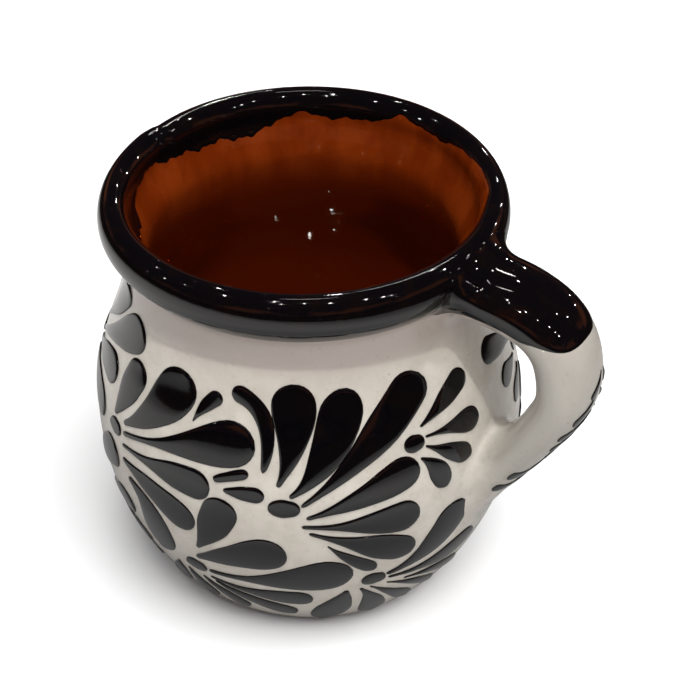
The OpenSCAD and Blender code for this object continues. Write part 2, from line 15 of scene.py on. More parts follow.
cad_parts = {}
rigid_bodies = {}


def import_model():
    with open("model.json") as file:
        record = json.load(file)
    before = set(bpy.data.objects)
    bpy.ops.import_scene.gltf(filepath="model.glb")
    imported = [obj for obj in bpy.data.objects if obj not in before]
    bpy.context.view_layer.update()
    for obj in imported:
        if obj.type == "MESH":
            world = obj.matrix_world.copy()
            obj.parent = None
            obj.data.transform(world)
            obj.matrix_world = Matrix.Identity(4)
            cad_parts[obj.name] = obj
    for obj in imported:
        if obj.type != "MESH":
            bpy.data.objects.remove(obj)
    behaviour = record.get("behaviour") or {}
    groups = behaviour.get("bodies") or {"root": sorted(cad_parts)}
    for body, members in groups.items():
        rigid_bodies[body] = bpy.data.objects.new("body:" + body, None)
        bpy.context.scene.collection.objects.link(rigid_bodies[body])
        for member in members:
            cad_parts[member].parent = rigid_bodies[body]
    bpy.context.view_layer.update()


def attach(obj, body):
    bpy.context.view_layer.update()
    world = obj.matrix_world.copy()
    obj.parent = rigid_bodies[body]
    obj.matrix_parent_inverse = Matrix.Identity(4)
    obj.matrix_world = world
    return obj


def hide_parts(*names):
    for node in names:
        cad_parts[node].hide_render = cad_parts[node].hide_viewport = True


MM = 0.001
MERGE_M = 2e-6  # Points nearer than this, in metres, are one
TINY = 1e-6
OVER = 0.8  # Share of a coat's grid that lies on its face; the rest is its underside
HALVINGS = 26  # Steps of the search for where the handle meets the pot
BOWL_STEPS, WALL_STEPS, ROLL_STEPS, FLOOR_STEPS = 400, 1200, 500, 120
SKIN_STEPS, SOFT_STEPS, LINE_STEPS = 4001, 15, 400
# Faces across and along the grids
CLAY_GRID, COAT_GRID, STROKE_GRID = (320, 300), (480, 150), (28, 22)
HANDLE_GRID, HANDLE_COAT_GRID = (112, 190), (150, 150)
LOG = logging.getLogger("mug")
Array = np.ndarray
Piece = bpy.types.Object
Socket = bpy.types.NodeSocket
Point = Colour = tuple[float, float, float]
Line = Callable[[Array], Array]
Place = Callable[[Array, Array], Array]
Links = dict[str | int, object]


class Slot(Enum):
    """The record's material slots."""

    CLAY = "clay"
    CREAM = "cream_glaze"
    BLACK = "black_glaze"
    AMBER = "amber_glaze"
    RELIEF = "black_relief"


class Root(Enum):
    """The handle's roots. The value is the way along its middle line that leads off the root."""

    UPPER = 1
    LOWER = -1


class Lit(Enum):
    """What a lamp lights."""

    ALL = "all"
    MUG = "mug"
    FLOOR = "floor"


def smooth(t: Array) -> Array:
    """Returns the smooth step of t, held between 0 and 1."""
    t = np.clip(t, 0.0, 1.0)
    return t * t * (3 - 2 * t)


def ease(t: Array) -> Array:
    """Returns the cosine step of t."""
    return (1 - np.cos(math.pi * t)) / 2


def mix(a: Array, b: Array, t: Array) -> Array:
    """Returns the point between a and b at share t."""
    return a + (b - a) * t


def edge(t: Array) -> Array:
    """Returns a rounded edge's height, from 0 at t = 0 to 1 at t = 1 and beyond."""
    return np.sqrt(1 - (1 - np.clip(t, 0.0, 1.0)) ** 2)


def hump(t: Array, at: float, width: float) -> Array:
    """Returns a hump of height 1 at a place, which fades over a width."""
    return np.exp(-(((t - at) / width) ** 2))


def unit(v: Array) -> Array:
    """Returns the vectors of v at length 1."""
    return v / np.maximum(np.linalg.norm(v, axis=-1, keepdims=True), 1e-12)


def stack(*parts: Array) -> Array:
    """Returns the parts side by side, as the columns of one array."""
    return np.stack(parts, axis=-1)


def degrees(phi: Array) -> Array:
    """Returns angles in radians as degrees from 0 to 360."""
    return (np.degrees(phi) + 360) % 360


def around(s: float) -> Line:
    """Returns the line round the skin at one length along it."""
    return lambda phi: np.full(phi.shape, float(s))


def skin_mesh(name: str, grid: tuple[int, int], place: Place) -> Piece:
    """Models a closed skin from a grid primitive whose points are moved to their places.

    Args:
        name: The piece's name.
        grid: Faces across and along the grid.
        place: Gives the points in millimetres for shares u and v from 0 to 1.

    Returns:
        The new object, smooth, with its doubles merged and its normals outwards.
    """
    bpy.ops.object.select_all(action="DESELECT")
    nu, nv = grid
    bpy.ops.mesh.primitive_grid_add(x_subdivisions=nu, y_subdivisions=nv, size=1.0, location=(0, 0, 0))
    obj = bpy.context.object
    obj.name = obj.data.name = name
    flat = np.empty(len(obj.data.vertices) * 3, dtype=np.float32)
    obj.data.vertices.foreach_get("co", flat)
    uv = np.clip(flat.reshape(-1, 3).astype(float)[:, :2] + 0.5, 0.0, 1.0)
    points = place(uv[:, 0], uv[:, 1]) * MM
    obj.data.vertices.foreach_set("co", points.astype(np.float32).ravel())
    obj.data.update()
    bpy.ops.object.mode_set(mode="EDIT")
    bpy.ops.mesh.select_all(action="SELECT")
    bpy.ops.mesh.remove_doubles(threshold=MERGE_M)
    bpy.ops.mesh.normals_make_consistent(inside=False)
    bpy.ops.object.mode_set(mode="OBJECT")
    bpy.ops.object.shade_smooth()
    return obj


def join(pieces: Sequence[Piece], name: str) -> Piece:
    """Returns the pieces joined into one object under a name."""
    bpy.ops.object.select_all(action="DESELECT")
    for piece in pieces:
        piece.select_set(True)
    bpy.context.view_layer.objects.active = pieces[0]
    if len(pieces) > 1:
        bpy.ops.object.join()
    obj = bpy.context.object
    obj.name = obj.data.name = name
    return obj


# Angles round the rim, and how far the black glaze runs down the inside there in millimetres
DRIP = np.array([
    (0, 2.4), (30, 0.5), (45, 1), (60, 2), (70, 3.3), (80, 3), (89, 1.8), (94, 4.2), (104, 5.4), (113, 6),
    (126, 4.4), (134, 6), (142, 9), (152, 8.5), (165, 8), (178, 7), (190, 5.2), (199, 5.8), (206, 7.4),
    (212, 10.5), (222, 11.5), (240, 8.5), (290, 4.6), (330, 3.4), (360, 2.4)])
# Ripples of that edge: height in millimetres, turn in radians for each degree, and start
RIPPLES = ((0.3, 0.39, 0.0), (0.26, 0.83, 1.3), (0.14, 1.71, 0.4))
# How the wall sways from round: height in millimetres, waves round, start, and turn for each millimetre up
SWAY = ((0.13, 2, 0.7, 1 / 60), (0.07, 3, 2.1, 0.0), (0.04, 5, 0.0, -1 / 18))


@dataclass
class Pot:
    """The thrown pot and its three glaze coats. Sizes are in millimetres, angles from the handle's side."""

    foot_r: float = 30.8
    foot_ring_w: float = 5.0
    foot_slope_w: float = 1.5
    foot_hollow: float = 1.5
    belly_z: float = 42.0
    belly_r: float = 48.6
    shoulder_power: float = 1.2
    neck_z: float = 84.0
    neck_r: float = 39.5
    neck_h: float = 11.3
    flare_from: float = 0.2
    rim_r: float = 44.0
    rim_t: float = 6.0
    rim_h: float = 9.4
    roll_a: float = math.radians(30)
    wall_t: float = 5.0
    floor_z: float = 6.5
    coat: float = 0.4
    cream_t: float = 0.38
    black_t: float = 0.54
    amber_t: float = 0.22
    black_z: float = 89.0
    bare_z: float = 2.0
    thin_z: float = 92.0
    thin_h: float = 5.0
    still_r: float = 12.0
    crest: int = field(init=False, repr=False)
    s: Array = field(init=False, repr=False)
    rz: Array = field(init=False, repr=False)
    normal: Array = field(init=False, repr=False)

    def __post_init__(self) -> None:
        """Draws the skin's profile, from the foot's edge over the rim to the middle of the floor."""
        rim_z, roll_r = self.neck_z + self.neck_h, self.rim_r - self.rim_t / 2
        join_z = rim_z - self.rim_h / 2 * math.sin(self.roll_a)
        bowl = 1 - np.cos(np.linspace(0, 1, BOWL_STEPS) * math.pi / 2)
        outer_z = np.concatenate([self.belly_z * bowl, np.linspace(self.belly_z, join_z, WALL_STEPS)[1:]])
        inner_z = np.concatenate([self.floor_z + (self.belly_z - self.floor_z) * bowl,
                                  np.linspace(self.belly_z, rim_z, WALL_STEPS)[1:-1]])[::-1]
        angle = np.linspace(-self.roll_a, math.pi, ROLL_STEPS)[1:]
        floor_r = np.linspace(self.foot_r - self.wall_t, 0, FLOOR_STEPS)[1:]
        rz = np.concatenate([
            stack(self.outer(outer_z, join_z), outer_z),
            stack(roll_r + self.rim_t / 2 * np.cos(angle), rim_z + self.rim_h / 2 * np.sin(angle)),
            stack(self.inner(inner_z), inner_z),
            stack(floor_r, np.full(floor_r.size, self.floor_z))])
        s = np.concatenate([[0], np.cumsum(np.linalg.norm(np.diff(rz, axis=0), axis=1))])
        self.s = np.linspace(0, s[-1], SKIN_STEPS)
        self.rz = stack(*(np.interp(self.s, s, rz[:, k]) for k in (0, 1)))
        self.crest = int(np.argmax(self.rz[:, 1]))
        way = np.pad(np.gradient(self.rz, axis=0), ((SOFT_STEPS // 2,) * 2, (0, 0)), mode="edge")
        soft = np.ones(SOFT_STEPS) / SOFT_STEPS
        dr, dz = (np.convolve(way[:, k], soft, mode="valid") for k in (0, 1))
        self.normal = unit(stack(dz, -dr))
        self.normal[-1] = (0, 1)

    @property
    def crest_z(self) -> float:
        """The height of the rim's top."""
        return self.neck_z + self.neck_h + self.rim_h / 2

    def shoulder(self, z: Array) -> Array:
        """Returns the shoulder's outside radius at z."""
        t = np.clip((z - self.belly_z) / (self.neck_z - self.belly_z), 0, 1)
        return mix(self.belly_r, self.neck_r, ease(t**self.shoulder_power))

    def swell(self, t: Array) -> Array:
        """Returns the bowl's swelling at share t of its height."""
        return (edge(t) + np.sin(np.clip(t, 0, 1) * math.pi / 2)) / 2

    def outer(self, z: Array, join_z: float) -> Array:
        """Returns the outside radius at z, up to the roll that starts at join_z."""
        start = self.neck_z + self.neck_h * self.flare_from
        end_r = self.rim_r - self.rim_t / 2 * (1 - math.cos(self.roll_a))
        slope = self.rim_t / self.rim_h * math.tan(self.roll_a)
        t = np.clip((z - start) / (join_z - start), 0, 1)
        flare = mix(self.neck_r, end_r, smooth(t)) + slope * (join_z - start) * t * t * (t - 1)
        bowl = mix(self.foot_r, self.belly_r, self.swell(z / self.belly_z))
        return np.where(z <= self.belly_z, bowl, np.where(z <= self.neck_z, self.shoulder(z), flare))

    def inner(self, z: Array) -> Array:
        """Returns the inside radius at z, up to the roll's middle."""
        neck = smooth((z - self.neck_z) / self.neck_h)
        top = mix(self.neck_r - self.wall_t, self.rim_r - self.rim_t, neck)
        bowl = mix(self.foot_r - self.wall_t, self.belly_r - self.wall_t,
                   self.swell((z - self.floor_z) / (self.belly_z - self.floor_z)))
        wall = np.where(z >= self.belly_z, self.shoulder(z) - self.wall_t, bowl)
        return np.where(z >= self.neck_z, top, wall)

    def s_outside(self, z: Array) -> Array:
        """Returns the skin's length from the foot to height z on the outside."""
        return np.interp(z, self.rz[:self.crest, 1], self.s[:self.crest])

    def s_inside(self, z: Array) -> Array:
        """Returns the skin's length from the foot to height z on the inside."""
        floor_s = self.s[-1] - (self.foot_r - self.wall_t) - 0.5
        wall = slice(self.crest, int(np.argmax(self.s >= floor_s)))
        return np.interp(-z, -self.rz[wall, 1], self.s[wall])

    @staticmethod
    def wobble(phi: Array, z: Array) -> Array:
        """Returns how far a hand-thrown wall strays from round at an angle and a height."""
        deg = degrees(phi)
        sway = sum(high * np.sin(k * phi + start + z * turn) for high, k, start, turn in SWAY)
        rings = 0.035 * np.sin(z * 0.62 + 0.8 * np.sin(phi)) * smooth((z - 20) / 30)
        # A finger's pinch in the rim: a dent before it, a short crease and a smaller swelling past it
        past = deg - 179.5
        pinch = np.where(past < 0, -0.75 * np.exp(-np.abs(past) / 16), 0.35 * np.exp(-np.abs(past) / 14))
        pinch *= smooth((np.abs(past) - 0.1) / 3.4) * smooth((z - 86) / 9)
        # The rim is a little long towards the front left and a little short behind
        rim = (0.3 * hump(deg, 232, 34) - 0.5 * hump(deg, 125, 50)) * smooth((z - 86) / 6)
        # The shoulder is flatter beside the handle
        flat = -0.8 * hump(deg, 37, 24) * smooth((z - 48) / 18) * smooth((92 - z) / 8)
        return sway + rings + pinch + flat + rim

    @staticmethod
    def sag(phi: Array, z: Array) -> Array:
        """Returns how far the rim hangs below level at an angle and a height, most on the far side."""
        return 0.55 * (1 - np.cos(phi - math.radians(305))) / 2 * smooth((z - 80) / 16)

    def point(self, phi: Array, s: Array, e: Array) -> Array:
        """Gives points over the clay.

        Args:
            phi: Angles round the pot, in radians from the handle.
            s: Lengths along the skin from the foot's edge.
            e: Heights over the clay.

        Returns:
            The points in millimetres.
        """
        r, z, nr, nz = (np.interp(s, self.s, line) for line in (*self.rz.T, *self.normal.T))
        r = r + e * nr + self.wobble(phi, z) * np.clip(r / self.still_r, 0, 1)
        return stack(r * np.cos(phi), r * np.sin(phi), z + e * nz - self.sag(phi, z))

    def lip(self, phi: Array) -> Array:
        """Returns the skin's length at the black glaze's line on the outside."""
        return self.s_outside(self.black_z + 0.12 * np.sin(3 * phi) + 0.07 * np.sin(7 * phi + 1))

    def drip(self, phi: Array) -> Array:
        """Returns the skin's length at the black glaze's ragged edge on the inside."""
        deg = degrees(phi)
        drop = np.interp(deg, DRIP[:, 0], DRIP[:, 1])
        fine = sum(high * np.sin(deg * turn + start) for high, turn, start in RIPPLES)
        return self.s_inside(self.crest_z - drop - fine * np.clip(drop / 6, 0.08, 1.2))

    def shell(self, name: str, first: Line, last: Line, top: float, brims: tuple[float, float],
              under: float = -0.15) -> Piece:
        """Models a coat of glaze between two lines on the skin.

        Args:
            name: The piece's name.
            first: The skin length of its first line at an angle.
            last: That of its last line.
            top: The coat's height over the clay.
            brims: Widths of its rounded first and last edges, or 0 for a square one.
            under: Height of its underside.

        Returns:
            The closed coat.
        """
        def place(u: Array, v: Array) -> Array:
            phi, over = 2 * math.pi * u, v < OVER
            s0, s1 = first(phi), last(phi)
            t = np.where(over, v / OVER, (1 - v) / (1 - OVER))
            s = mix(s0, s1, np.where(over, mix(t, ease(t), 0.7), t))
            # A coat thicker than the cream thins to the cream's height up to the lip's crest
            thin = smooth((np.interp(s, self.s, self.rz[:, 1]) - self.thin_z) / self.thin_h)
            e = top - max(top - self.cream_t, 0) * np.where(s < self.s[self.crest], thin, 1.0)
            for width, away in zip(brims, (s - s0, s1 - s)):
                if width:
                    e = mix(under, e, edge(away / width))
            return self.point(phi, s, np.where(over, e, under))
        return skin_mesh(name, COAT_GRID, place)

    def clay(self) -> Piece:
        """Returns the thrown clay body, with its foot ring and the hollow inside the ring."""
        wall_share, end_s = 0.86, float(self.s[-1])

        def place(u: Array, v: Array) -> Array:
            phi = 2 * math.pi * u
            wall = self.point(phi, np.clip(v / wall_share, 0, 1) * end_s, np.zeros(u.size))
            t = np.clip((v - wall_share) / (1 - wall_share), 0, 1)
            ring_r = self.foot_r - self.foot_ring_w
            r = np.interp(t, [0, 0.3, 0.45, 0.6, 1], [0, 0, ring_r - self.foot_slope_w, ring_r, self.foot_r])
            z = np.interp(t, [0, 0.02, 0.45, 0.6], [self.floor_z, self.foot_hollow, self.foot_hollow, 0])
            r = r + self.wobble(phi, z * 0) * smooth(r / 30)
            return np.where((v <= wall_share)[:, None], wall, stack(r * np.cos(phi), r * np.sin(phi), z))
        return skin_mesh("thrown_clay_body", CLAY_GRID, place)

    def cream(self) -> Piece:
        """Returns the cream coat, from the bare foot to under the lip's black."""
        first, last = (around(self.s_outside(z)) for z in (self.bare_z, self.black_z + 2.2))
        return self.shell("cream_glaze_coat", first, last, self.cream_t, (0.9, 0.0))

    def black(self) -> Piece:
        """Returns the lip's black coat, from its line outside to its drip edge inside."""
        return self.shell("black_lip_glaze", self.lip, self.drip, self.black_t, (1.1, 1.3), 0.12)

    def amber(self) -> Piece:
        """Returns the amber lining, from the rim's top to the middle of the floor."""
        first, last = around(self.s_inside(self.crest_z - 0.1)), around(self.s[-1])
        return self.shell("amber_lining_glaze", first, last, self.amber_t, (0.0, 0.0))


# The handle's middle line, from beyond its upper root to beyond its lower one: shares of the way out to the
# grip and up to the upper root, and a share of the swelling over the lower root
MIDDLE = np.array([
    [-0.45, 1.01, 0], [-0.1, 1.01, 0], [0.2, 1, 0], [0.54, 0.98, 0], [0.81, 0.92, 0], [0.97, 0.8, 0],
    [0.93, 0.6, 0.2], [0.6, 0.38, 0.6], [0.12, 0.1, 1], [-0.18, -0.14, 1], [-0.45, -0.36, 1]])
# How far a root's flare runs on the pot and along the handle: over it, under it and beside it
FLARES = {
    Root.UPPER: ((2.0, 4.5, 5.0), (4.5, 6.5, 7.5)),
    Root.LOWER: ((5.0, 6.0, 2.6), (10.0, 7.5, 6.5)),
}


@dataclass
class Handle:
    """The pulled handle with its flared roots, and its black glaze. Sizes are in millimetres."""

    pot: Pot
    width: float = 17.0
    thick: float = 11.4
    low_thick: float = 8.8
    blunt: float = 0.87
    grip_r: float = 65.6
    low_z: float = 40.0
    high_z: float = 90.7
    swell: float = 9.1
    pull: float = 0.62
    depth: float = 2.6
    black_t: float = 0.62
    black_under: float = 0.1
    black_end: float = 0.325
    black_tongue: float = 0.133
    path: Array = field(init=False, repr=False)
    length: float = field(init=False, repr=False)

    def __post_init__(self) -> None:
        """Lays the handle's middle line."""
        out, up, low = MIDDLE.T
        r = mix(self.pot.neck_r, self.grip_r, out) + self.swell * low
        self.path = stack(r, mix(self.low_z, self.high_z, up))
        line = self.middle(np.linspace(0, 1, LINE_STEPS))[0]
        self.length = float(np.linalg.norm(np.diff(line, axis=0), axis=1).sum())

    def middle(self, u: Array) -> tuple[Array, Array]:
        """Returns the middle line's points and directions at shares u of it."""
        spans = len(self.path) - 3
        i = np.minimum(spans - 1, np.floor(np.clip(u, 0, 1) * spans)).astype(int)
        t = (u * spans - i)[..., None]
        a, b, c, d = (self.path[i + k] for k in range(4))
        at = 0.5 * (2 * b + (c - a) * t + (2 * a - 5 * b + 4 * c - d) * t**2 + (3 * b - a - 3 * c + d) * t**3)
        way = 0.5 * ((c - a) + (4 * a - 10 * b + 8 * c - 2 * d) * t + (9 * b - 3 * a - 9 * c + 3 * d) * t**2)
        return at, unit(way)

    def strap(self, a: Array, u: Array, e: Array) -> Array:
        """Gives points on the handle's plain strap.

        Args:
            a: Angles round the section in radians: pi/2 is the outside, pi the front.
            u: Shares along the middle line.
            e: Heights over the clay.

        Returns:
            The points in millimetres.
        """
        at, way = self.middle(u)
        thick = mix(self.thick, self.low_thick, smooth((u - 0.5) / 0.35))
        wide = self.width * (1 + 0.03 * np.sin(u * 9 + 0.5))
        y, n = (np.sign(c) * np.abs(c) ** self.blunt * (size / 2 + e)
                for c, size in ((np.cos(a), wide), (np.sin(a), thick)))
        return stack(at[..., 0] - way[..., 1] * n, y, at[..., 1] + way[..., 0] * n)

    def meet(self, root: Root, a: Array, e: Array) -> Array:
        """Returns where the strap meets the pot's coat at angles a, as shares along the middle line."""
        out, inn = (np.full(a.shape, 0.5 - reach * root.value) for reach in (0.1, 0.5))
        for _ in range(HALVINGS):
            u = (out + inn) / 2
            p = self.strap(a, u, np.zeros(a.shape))
            face = self.pot.point(np.arctan2(p[:, 1], p[:, 0]), self.pot.s_outside(p[:, 2]), e)
            clear = np.hypot(p[:, 0], p[:, 1]) > np.hypot(face[:, 0], face[:, 1])
            out, inn = np.where(clear, u, out), np.where(clear, inn, u)
        return (out + inn) / 2

    def spread(self, root: Root, a: Array) -> list[Array]:
        """Returns how far a root's flare runs on the pot and along the handle at angles a."""
        sides = np.clip(np.sin(a), 0, 1), np.clip(-np.sin(a), 0, 1), np.abs(np.cos(a))
        return [sum(run * side for run, side in zip(runs, sides)) / sum(sides) for runs in FLARES[root]]

    def span(self, a: Array, e: Array) -> list[Array]:
        """Returns the shares of the middle line where the two flares leave the strap at angles a."""
        return [self.meet(root, a, e) + root.value * self.spread(root, a)[1] / self.length for root in Root]

    def surface(self, a: Array, w: Array, e: Array) -> Array:
        """Gives points over the handle's clay, flares included.

        Args:
            a: Angles round the section in radians.
            w: Places along it: 0 to 1 is the upper flare, 1 to 2 the strap, 2 to 3 the lower flare;
                a little less than 0 or more than 3 is tucked into the pot.
            e: Heights over the clay.

        Returns:
            The points in millimetres.
        """
        ends = self.span(a, e)
        out = self.strap(a, mix(*ends, np.clip(w - 1, 0, 1)), e)
        for root, end, pick, t in zip(Root, ends, (w < 1, w > 2), (1 - w, w - 2)):
            if pick.any():
                out[pick] = self.flare(root, a[pick], e[pick], end[pick], t[pick])
        return out

    def flare(self, root: Root, a: Array, e: Array, u_end: Array, t: Array) -> Array:
        """Gives points on a root's flare, from the strap at t = 0 to the pot at t = 1 and into it beyond.

        Args:
            root: Which root it is.
            a: Angles round the section.
            e: Heights over the clay.
            u_end: Where the flare leaves the strap.
            t: Shares along the flare.

        Returns:
            The points in millimetres.
        """
        reach, along = self.spread(root, a)

        def foot(angle: Array) -> tuple[Array, Array]:
            p = self.strap(angle, self.meet(root, angle, e), e)
            return np.arctan2(p[:, 1], p[:, 0]), self.pot.s_outside(p[:, 2])

        (phi, s), (phi1, s1), (phi0, s0) = (foot(a + step) for step in (0.0, 0.02, -0.02))
        r = np.interp(s, self.pot.s, self.pot.rz[:, 0])
        tangent = unit(stack((phi1 - phi0) * r, s1 - s0))
        side = stack(tangent[:, 1], -tangent[:, 0])
        centre = float(self.pot.s_outside(self.high_z if root is Root.UPPER else self.low_z))
        side *= np.sign((side * stack(phi * r, s - centre)).sum(axis=1, keepdims=True))

        def on_pot(run: Array, height: Array) -> Array:
            return self.pot.point(phi + side[:, 0] * run / r, s + side[:, 1] * run, height)

        # A curve from p0 on the strap to p3 on the pot, whose handles p1 and p2 lie along both
        p0, p3 = self.strap(a, u_end, e), on_pot(reach, e)
        d0 = unit(self.strap(a, u_end - 0.01 * root.value, e) - p0)
        d3 = unit(on_pot(reach + 0.05, e) - on_pot(reach - 0.05, e))
        p1, p2 = p0 + d0 * (along * self.pull)[:, None], p3 - d3 * (reach * self.pull)[:, None]
        k = np.clip(t, 0, 1)[:, None]
        curve = p0 * (1 - k) ** 3 + 3 * p1 * k * (1 - k) ** 2 + 3 * p2 * k * k * (1 - k) + p3 * k**3
        tuck = np.clip(t - 1, 0, 1)
        dive = np.minimum(1, tuck * 8)
        sunk = on_pot(reach * (1 - 0.25 * tuck) + 0.8 * dive, e - 0.5 * dive - 2 * tuck)
        return np.where((t <= 1)[:, None], curve, sunk)

    def body(self) -> Piece:
        """Returns the cream handle: one skin from inside the rim's wall to inside the belly's."""
        def place(u: Array, v: Array) -> Array:
            w = np.interp(v, [0, 0.02, 0.04, 0.06, 0.22, 0.78, 0.94, 0.96, 0.98, 1],
                          [-0.4, -0.4, -0.12, 0, 1, 2, 3, 3.12, 3.4, 3.4])
            points = self.surface(2 * math.pi * u, w, np.full(u.shape, self.pot.coat))
            # Each end closes in one point inside the pot's wall
            for end, z in ((v <= TINY, self.high_z), (v >= 1 - TINY, self.low_z - 1.5)):
                points[end] = self.pot.point(np.zeros(1), np.full(1, self.pot.s_outside(z)), -self.depth)[0]
            return points
        return skin_mesh("cream_handle", HANDLE_GRID, place)

    def black(self) -> Piece:
        """Returns the black glaze over the handle's top and sides, with its round end."""
        def place(u: Array, v: Array) -> Array:
            over = u < OVER
            c = np.where(over, u / OVER * 2 - 1, 1 - (u - OVER) / (1 - OVER) * 2)
            c = np.where(over, mix(c, np.sin(c * math.pi / 2), 0.55), c)
            below = np.radians(np.interp(v, [0, 0.08, 0.16, 0.35, 0.6, 1], [2, 4, 14, 30, 24, 12]))
            a = mix(-below, math.pi + below, (c + 1) / 2)
            first, last = self.span(a, np.full(a.shape, 0.6))
            end = self.black_end + self.black_tongue * (1 - np.abs(c) ** 3) + 0.008 * c
            w = mix(-0.12, 1 + (end - first) / (last - first), v)
            rise = edge((1 - np.abs(c)) * 20 / 1.2) * edge((1 - v) * 34 / 1.4)
            e = np.where(over, mix(self.black_under, self.black_t, rise), self.black_under)
            return self.surface(a, w, e)
        return skin_mesh("black_handle_glaze", HANDLE_COAT_GRID, place)


# Angle and height of a stroke's base, middle and tip, its width, and how long its stem is thin
Stroke = tuple[float, ...]


@dataclass(frozen=True)
class Spray:
    """A spray of raised strokes round a bead, which is an angle, a height, a width and a breadth.

    It can be turned round the pot, flipped, or doubled by its mirror image past the bead.
    """

    node: str
    strokes: Sequence[Stroke]
    bead: tuple[float, float, float, float] | None = None
    turn: float = 0.0
    flip: bool = False
    double: bool = False
    height: float = 0.45


@dataclass(frozen=True)
class Ground:
    """What strokes lie on: its points, the lengths that a unit of each coordinate spans, and their height."""

    point: Callable[[Array, Array, Array], Array]
    metric: Callable[[Array, Array], tuple[Array, Array]]
    height: float


def bow(p: Array, t: Array) -> tuple[Array, Array]:
    """Returns points of the curve through the three points p at shares t, and its slopes there."""
    t = t[..., None]
    at = p[0] * (1 - t) * (1 - 2 * t) + p[1] * 4 * t * (1 - t) + p[2] * t * (2 * t - 1)
    return at, p[0] * (4 * t - 3) + p[1] * (4 - 8 * t) + p[2] * (4 * t - 1)


# Pairs of leaves down the handle: the stem's angle, the tips' angle from it, their width and their bow
LEAVES = (
    (70, 26, 1.7, 0.031), (79, 45, 2.2, 0.031), (79, 56, 2.3, 0.031), (79, 48, 2.2, 0.031),
    (77, 32, 2.2, 0.031), (77, 79, 2.3, 0.04), (77, 82, 2.3, 0.04),
)


@dataclass
class Relief:
    """Raised slip strokes on the pot and the handle. Sizes are in millimetres, angles in degrees."""

    pot: Pot
    handle: Handle
    sink: float = 0.12
    dome: float = 0.62
    leaf_height: float = 0.3
    leaf_base: float = 5.0
    leaf_thin: float = 1.5
    leaf_run: float = 0.05
    first_leaf: float = 0.548
    leaf_step: float = 0.0445

    def profile(self, t: Array, blunt: float, thin: float) -> Array:
        """Returns a stroke's half width as a share of its widest, at shares t of its length."""
        stem = mix(0.12, 1.0, np.sin(np.clip(t / (1 - blunt), 0, 1) * math.pi / 2) ** thin)
        return np.where(t < 1 - blunt, stem * edge(t / 0.035), edge((1 - t) / blunt))

    def stroke(self, spine: Array, width: float, thin: float | None, ground: Ground, seed: float) -> Piece:
        """Models one stroke.

        Args:
            spine: Its base, middle and tip in the ground's own coordinates.
            width: Its greatest width.
            thin: How long its stem stays thin, or None for an oval bead.
            ground: What it lies on.
            seed: A number that makes its outline its own.

        Returns:
            The closed stroke.
        """
        blunt = min(0.5, width / 2 / np.hypot(*((spine[2] - spine[0]) * ground.metric(*spine[1]))))

        def place(u: Array, v: Array) -> Array:
            t, theta = mix(v, ease(v), 0.85), 2 * math.pi * u
            oval = np.sqrt(np.clip(1 - (2 * t - 1) ** 2, 0, 1))
            half = width / 2 * (oval if thin is None else self.profile(t, blunt, thin))
            sway = 1 + 0.03 * np.sin(t * 7 + seed) + 0.02 * np.sin(t * 15 + seed * 2.3)
            run = half * np.cos(theta) * sway
            mid, slope = bow(spine, t)
            size = stack(*ground.metric(*mid.T))
            way = unit(slope * size)
            at = mid + stack(-way[:, 1], way[:, 0]) * run[:, None] / size
            top = np.minimum(ground.height, 0.1 + 0.5 * half) * np.clip(np.sin(theta), 0, 1) ** self.dome
            return ground.point(*at.T, np.where(np.sin(theta) > TINY, top, -self.sink * half / (width / 2)))
        return skin_mesh("stroke", STROKE_GRID, place)

    def on_pot(self, angle: Array, z: Array, e: Array) -> Array:
        """Returns points over the pot's cream coat at angles in degrees and heights."""
        return self.pot.point(np.radians(angle), self.pot.s_outside(z), e + self.pot.coat)

    def pot_metric(self, angle: Array, z: Array) -> tuple[Array, Array]:
        """Returns the lengths of a degree round the pot and of a millimetre of height on its skin."""
        r = np.interp(self.pot.s_outside(z), self.pot.s, self.pot.rz[:, 0])
        return r * math.pi / 180, self.pot.s_outside(z + 0.5) - self.pot.s_outside(z - 0.5)

    def spray(self, plan: Spray) -> Piece:
        """Returns one spray as an object of separate closed strokes."""
        ground = Ground(self.on_pot, self.pot_metric, plan.height)
        pieces, sign = [], -1 if plan.flip else 1
        ways = [(plan.turn, sign)]
        if plan.double:
            ways.append((plan.turn + 2 * plan.bead[0], -1))
        for turn, way in ways:
            for k, (*ends, width, thin) in enumerate(plan.strokes):
                spine = np.reshape(ends, (3, 2)) * (way, 1) + (turn, 0)
                pieces.append(self.stroke(spine, width, thin, ground, k * 1.7 + turn))
        if plan.bead:
            a, z, width, breadth = plan.bead
            a = plan.turn + sign * a
            half = width / 2 / self.pot_metric(a, z)[0]
            spine = np.array([[a - half, z], [a, z], [a + half, z]])
            pieces.append(self.stroke(spine, breadth, None, ground, 0.5))
        return join(pieces, f"raised_{plan.node}")

    def leaves(self) -> Piece:
        """Returns the pairs of leaves down the outside of the handle."""
        degree = math.pi * (self.handle.width + self.handle.thick) / 2 / 360

        def point(a: Array, u: Array, e: Array) -> Array:
            return self.handle.strap(np.radians(a), u, e + self.pot.coat)

        def metric(a: Array, u: Array) -> tuple[Array, Array]:
            return np.full(a.shape, degree), np.full(a.shape, self.handle.length)

        ground, pieces = Ground(point, metric, self.leaf_height), []
        for k, (stem, tip, width, bend) in enumerate(LEAVES):
            u = self.first_leaf + self.leaf_step * k
            for side in (-1, 1):
                spine = np.array([[stem + side * self.leaf_base, u],
                                  [stem + side * (self.leaf_base + tip) / 2, u + bend],
                                  [stem + side * tip, u + self.leaf_run]])
                pieces.append(self.stroke(spine, width, self.leaf_thin, ground, k + side))
        return join(pieces, "raised_handle_leaves")


